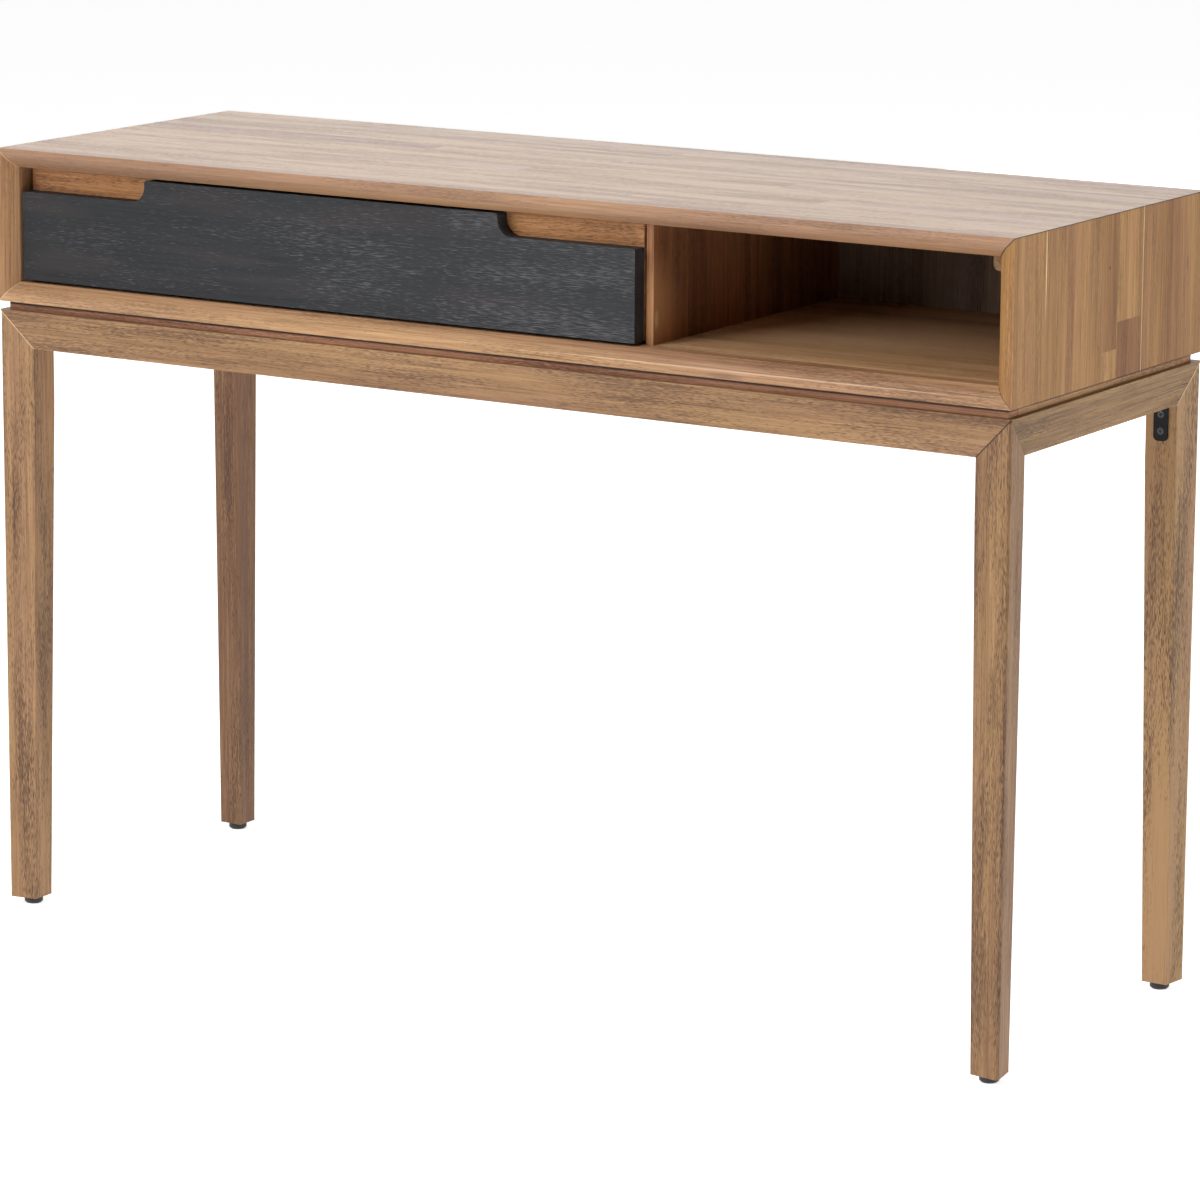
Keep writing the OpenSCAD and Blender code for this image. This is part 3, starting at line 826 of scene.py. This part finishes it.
        # The first mark is painted light: a warm lit patch low at the divider's front. The second is
        # a pale plug in the wood.
        marks = (Mark((far.x, near.y, 0.69), (0.02, 0.07, 0.09), tint(206, 152, 104), 0.6),
                 Mark((far.x, near.y + 0.006, 0.703), (0.01, 0.0045, 0.013),
                      tint(206, 178, 120), 0.9))
        upright = OiledWood("divider_wood", Grain.ALONG_Z, tint(176, 126, 88),
                            tint(150, 102, 68), tint(112, 72, 48), shift=(2.6, 0.3, 0.9),
                            marks=marks)
        dress("divider", upright.build(), None, self.divider_ease, 4)
        back = OiledWood("back_wood", Grain.ALONG_Z, tint(168, 148, 130), tint(138, 118, 102),
                         tint(108, 90, 76), pores=0.4, contrast=0.7, shift=(0.9, 0.7, 0.1))
        dress("back_panel", back.build())
        cleat = OiledWood("cleat_wood", Grain.ALONG_Y, shift=(0.3, 0.2, 4.1))
        dress("bay_cleat", cleat.build(), None, self.cleat_ease)


@dataclass
class LegFrame:
    """The mitred leg frame with its plinth, brackets and glides."""

    ease: float = 0.0006
    bracket_ease: float = 0.0003
    glide_ease: float = 0.0004
    # Width of the painted shadow line at the top of each plinth strip.
    plinth_shadow_width: float = 0.0048

    def __post_init__(self) -> None:
        """Reads the frame's top, half width and half depth, where its mitres meet."""
        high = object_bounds()[1]
        self.top, self.half_w, self.half_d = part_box("rail_front")[1].z, high[0], high[1]

    def seams(self) -> dict[str, tuple[Seam, Seam]]:
        """Draws the mitres of each corner, on its front or back and then on its side.

        Returns:
            Two seams for each corner.
        """
        pale, dark = tint(216, 188, 150), tint(44, 28, 20)
        wide, deep = self.top - self.half_w, self.top - self.half_d
        return {"front_left": (Seam((1, 0, 1), wide, pale, 0.0005, 0.7),
                               Seam((0, 1, 1), deep, dark, 0.0004, 0.5)),
                "front_right": (Seam((-1, 0, 1), wide, dark, 0.0008, 0.9),
                                Seam((0, 1, 1), deep, dark, 0.0004, 0.5)),
                "back_left": (Seam((1, 0, 1), wide, pale, 0.0005, 0.6),
                              Seam((0, -1, 1), deep, dark, 0.0005, 0.6)),
                "back_right": (Seam((-1, 0, 1), wide, dark, 0.0005, 0.6),
                               Seam((0, -1, 1), deep, pale, 0.0006, 0.8))}

    def knots(self) -> dict[str, tuple[Mark, ...]]:
        """Places the dark figure on the front and right rails.

        Returns:
            The marks of each rail that has any.
        """
        dusk = tint(78, 52, 38)
        top, right, front = self.top, self.half_w, -self.half_d
        return {"front": (Mark((-0.32, front, top - 0.0045), (0.10, 0.006, 0.0024), dusk, 0.55),
                          Mark((0.23, front, top - 0.0035), (0.045, 0.006, 0.0022), dusk, 0.55),
                          Mark((0.02, front, top - 0.026), (0.05, 0.006, 0.0012), dusk, 0.35)),
                "right": (Mark((right, -0.11, top - 0.008), (0.006, 0.06, 0.0014), dusk, 0.5),
                          Mark((right, -0.05, top - 0.030), (0.006, 0.07, 0.0010), dusk, 0.35),
                          Mark((right, 0.03, top - 0.006), (0.006, 0.05, 0.0012), dusk, 0.4))}

    def dress(self) -> None:
        """Gives every piece of the leg frame its finish."""
        for number, side in enumerate(("front", "back", "left", "right")):
            self.dress_side(number, side)
        self.dress_legs()
        self.dress_fittings()

    def dress_side(self, number: int, side: str) -> None:
        """Finishes one rail and the plinth strip on it.

        Args:
            number: The side's number, which moves its grain.
            side: The side's name.
        """
        lengthwise = side in ("front", "back")
        way = Grain.ALONG_X if lengthwise else Grain.ALONG_Y
        ends = tuple(pair[0 if lengthwise else 1] for corner, pair in self.seams().items()
                     if side in corner)
        tones, shades = (), (tint(200, 148, 114), tint(172, 122, 92), tint(132, 90, 68))
        if not lengthwise:
            tones = tint(158, 126, 80), tint(137, 105, 65), tint(99, 69, 41)
            # The side plinths' pale colours are the rails' wood made paler still, as painted light
            # against the shade under the case.
            shades = tint(222, 182, 138), tint(202, 160, 116), tint(166, 124, 88)
        rail = OiledWood(f"rail_{side}_wood", way, *tones, seams=ends, pores=0.7, hairs=0.85,
                         marks=self.knots().get(side, ()), shift=(number * 2.3, 0.7, number * 0.9))
        dress(f"rail_{side}", rail.build(), None, self.ease)
        # Painted shadow: a dark band along the plinth's top, under the case's overhang.
        joint = Seam((0, 0, 1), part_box(f"plinth_{side}")[1].z, tint(26, 17, 13),
                     self.plinth_shadow_width, 0.92)
        strip = OiledWood(f"plinth_{side}_wood", way, *shades, seams=(joint,),
                          shift=(number * 3.3, 0.1, 0.2))
        dress(f"plinth_{side}", strip.build())

    def dress_legs(self) -> None:
        """Finishes the legs, each made paler or darker by its own lift."""
        seams = self.seams()
        for number, (corner, lift) in enumerate(zip(CORNERS, (0.18, -0.10, -0.40, 0.50))):
            leg = OiledWood(f"leg_{corner}_wood", Grain.ALONG_Z, lift=lift, broad=0.55,
                            pores=0.85, hairs=0.9, shift=(number * 1.9, number * 0.4, 0.3),
                            seams=seams[corner])
            dress(f"leg_{corner}", leg.build(), None, self.ease)

    def dress_fittings(self) -> None:
        """Finishes the brackets, their screws and the glides."""
        coat = CoatedSteel("bracket_coat").build()
        plastic = MouldedPlastic("glide_plastic").build()
        for corner in CORNERS:
            dress(f"bracket_{corner}", coat, None, self.bracket_ease)
            dress(f"glide_{corner}", plastic, None, self.glide_ease)
        worn = CoatedSteel("bracket_screw_coat", tint(70, 71, 74), tint(168, 170, 174), 0.3)
        dress("bracket_screws", worn.build())


@dataclass
class Drawer:
    """The drawer: dark face, natural inner front, box and screws."""

    face_ease: float = 0.0009
    front_ease: float = 0.0006
    box_ease: float = 0.0005

    def dress(self) -> None:
        """Gives every piece of the drawer its finish."""
        self.dress_front()
        self.dress_box()

    def dress_front(self) -> None:
        """Finishes the charcoal face, rubbed pale at its edges, and the front behind it."""
        stain = CharcoalStain("face_stain").build()
        rubbed = CharcoalStain("face_rubbed_edge", tint(70, 70, 72), tint(110, 110, 110),
                               tint(190, 188, 184), 0.45, 0.12).build()
        dress("drawer_face", stain, rubbed, self.face_ease)
        inner = OiledWood("inner_front_wood", Grain.ALONG_X, tint(190, 140, 90),
                          tint(169, 117, 73), tint(134, 86, 53), pores=0.6, shift=(4.4, 0.6, 0.2))
        dress("drawer_front", inner.build(), None, self.front_ease)

    def dress_box(self) -> None:
        """Finishes the sides, back and bottom of the box in a paler wood."""
        shades = tint(214, 180, 134), tint(196, 160, 116), tint(168, 132, 94)
        boards = (("side_left", "box_left_wood", Grain.ALONG_Y, (0.0, 0.8, 0.1), self.box_ease),
                  ("side_right", "box_right_wood", Grain.ALONG_Y, (2.0, 0.8, 0.1), self.box_ease),
                  ("back", "box_back_wood", Grain.ALONG_X, (6.0, 0.8, 0.1), self.box_ease),
                  ("bottom", "box_bottom_wood", Grain.ALONG_X, (7.0, 1.8, 0.1), 0.0))
        for part, name, way, shift, ease in boards:
            wood = OiledWood(name, way, *shades, pores=0.4, shift=shift)
            dress(f"drawer_{part}", wood.build(), None, ease)


@dataclass
class Hardware:
    """Runners and screws."""

    runner_ease: float = 0.0003

    def dress(self) -> None:
        """Gives the runners and screws their finish."""
        zinc = ZincSteel("runner_zinc").build()
        for part in ("case", "middle", "box"):
            for side in ("left", "right"):
                dress(f"runner_{part}_{side}", zinc, None, self.runner_ease, 1)
        screw = ZincSteel("screw_zinc", Grain.ALONG_Z, tint(168, 166, 158), tint(132, 130, 124),
                          0.32).build()
        for group in ("back_screws", "case_screws", "face_screws", "runner_case_screws",
                      "runner_box_screws"):
            dress(group, screw)


@dataclass(frozen=True)
class Lamp:
    """One soft square light: where it hangs, its side, its power in watts and its target."""

    name: str
    place: Triple
    size: float
    power: float
    aim: Triple

    def hang(self) -> None:
        """Hangs the light, unseen by the camera."""
        data = bpy.data.lights.new(self.name, "AREA")
        data.shape, data.size, data.energy = "SQUARE", self.size, self.power
        lamp = bpy.data.objects.new(self.name, data)
        lamp.location = self.place
        lamp.visible_camera = False
        ahead = Vector(self.aim) - Vector(self.place)
        lamp.rotation_euler = ahead.to_track_quat("-Z", "Y").to_euler()
        bpy.context.scene.collection.objects.link(lamp)


@dataclass
class Studio:
    """Floor, light and camera."""

    floor_size: float = 60.0
    air: float = 0.44
    dim: float = 0.04
    dim_side: Triple = (0.66, -0.75, 0.0)
    azimuth: float = 32.0
    elevation: float = 10.846
    roll: float = 0.319
    distance: float = 5.176
    lens: float = 150.16
    sensor: float = 36.0
    rise: float = -0.1
    reach: float = 200.0
    aim: Triple = (0.0122, 0.0133, 0.4953)
    lamps: tuple[Lamp, ...] = (
        Lamp("key_panel", (-1.9, -4.3, 2.6), 2.6, 125.0, (0.1, 0.0, 0.6)),
        Lamp("side_panel", (4.6, 1.4, 1.7), 3.0, 75.0, (0.2, 0.0, 0.5)),
        Lamp("back_panel", (-3.2, 5.2, 1.9), 4.0, 88.0, (0.0, 0.0, 0.8)),
        Lamp("overhead_panel", (-0.3, -1.9, 3.3), 2.2, 64.0, (0.1, -0.2, 0.5)))

    def build(self) -> None:
        """Sets up the studio."""
        self.lay_floor()
        self.surround()
        for lamp in self.lamps:
            lamp.hang()
        self.stand_camera()
        bpy.context.scene.view_settings.view_transform = "Standard"

    def lay_floor(self) -> None:
        """Lays the pale floor."""
        mesh = bpy.data.meshes.new("studio_floor")
        shape = bmesh.new()
        bmesh.ops.create_grid(shape, x_segments=1, y_segments=1, size=self.floor_size / 2)
        shape.to_mesh(mesh)
        shape.free()
        ground = bpy.data.objects.new("studio_floor", mesh)
        bpy.context.scene.collection.objects.link(ground)
        mesh.materials.append(StudioPaper("studio_paper").build())
        ground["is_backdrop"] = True

    def surround(self) -> None:
        """Sets the white surroundings, which fade to dim on the side towards dim_side."""
        world = bpy.data.worlds.new("studio_air")
        world.use_nodes = True
        nodes, links = world.node_tree.nodes, world.node_tree.links
        sky = nodes["Background"]
        sky.inputs["Color"].default_value = (1.0, 1.0, 1.0, 1.0)
        where = nodes.new("ShaderNodeTexCoord")
        facing = nodes.new("ShaderNodeVectorMath")
        facing.operation = "DOT_PRODUCT"
        facing.inputs[1].default_value = self.dim_side
        fade = nodes.new("ShaderNodeMapRange")
        fade.interpolation_type = "SMOOTHSTEP"
        for key, value in (("From Min", 0.0), ("From Max", 0.7), ("To Min", self.air),
                           ("To Max", self.dim)):
            fade.inputs[key].default_value = value
        links.new(where.outputs["Generated"], facing.inputs[0])
        links.new(facing.outputs["Value"], fade.inputs["Value"])
        links.new(fade.outputs["Result"], sky.inputs["Strength"])
        bpy.context.scene.world = world

    def stand_camera(self) -> None:
        """Stands the camera on its orbit round the aim."""
        azimuth, elevation, roll = (math.radians(a) for a in
                                    (self.azimuth, self.elevation, self.roll))
        ahead = Vector((-math.sin(azimuth) * math.cos(elevation),
                        math.cos(azimuth) * math.cos(elevation), -math.sin(elevation)))
        level = Vector((math.cos(azimuth), math.sin(azimuth), 0.0))
        upward = level.cross(ahead)
        right = level * math.cos(roll) + upward * math.sin(roll)
        up = upward * math.cos(roll) - level * math.sin(roll)
        turn = Matrix((right, up, -ahead)).transposed().to_4x4()
        data = bpy.data.cameras.new("studio_camera")
        data.lens, data.sensor_width, data.sensor_fit = self.lens, self.sensor, "HORIZONTAL"
        data.shift_y, data.clip_end = self.rise, self.reach
        eye = bpy.data.objects.new("studio_camera", data)
        eye.matrix_world = Matrix.Translation(Vector(self.aim) - ahead * self.distance) @ turn
        bpy.context.scene.collection.objects.link(eye)
        bpy.context.scene.camera = eye


def main() -> None:
    """Dresses the table and sets up the studio."""
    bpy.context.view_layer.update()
    for part in (Case(), LegFrame(), Drawer(), Hardware()):
        part.dress()
        LOG.info("%s done", type(part).__name__)
    Studio().build()
    bpy.context.view_layer.update()


if __name__ == "__main__":
    main()
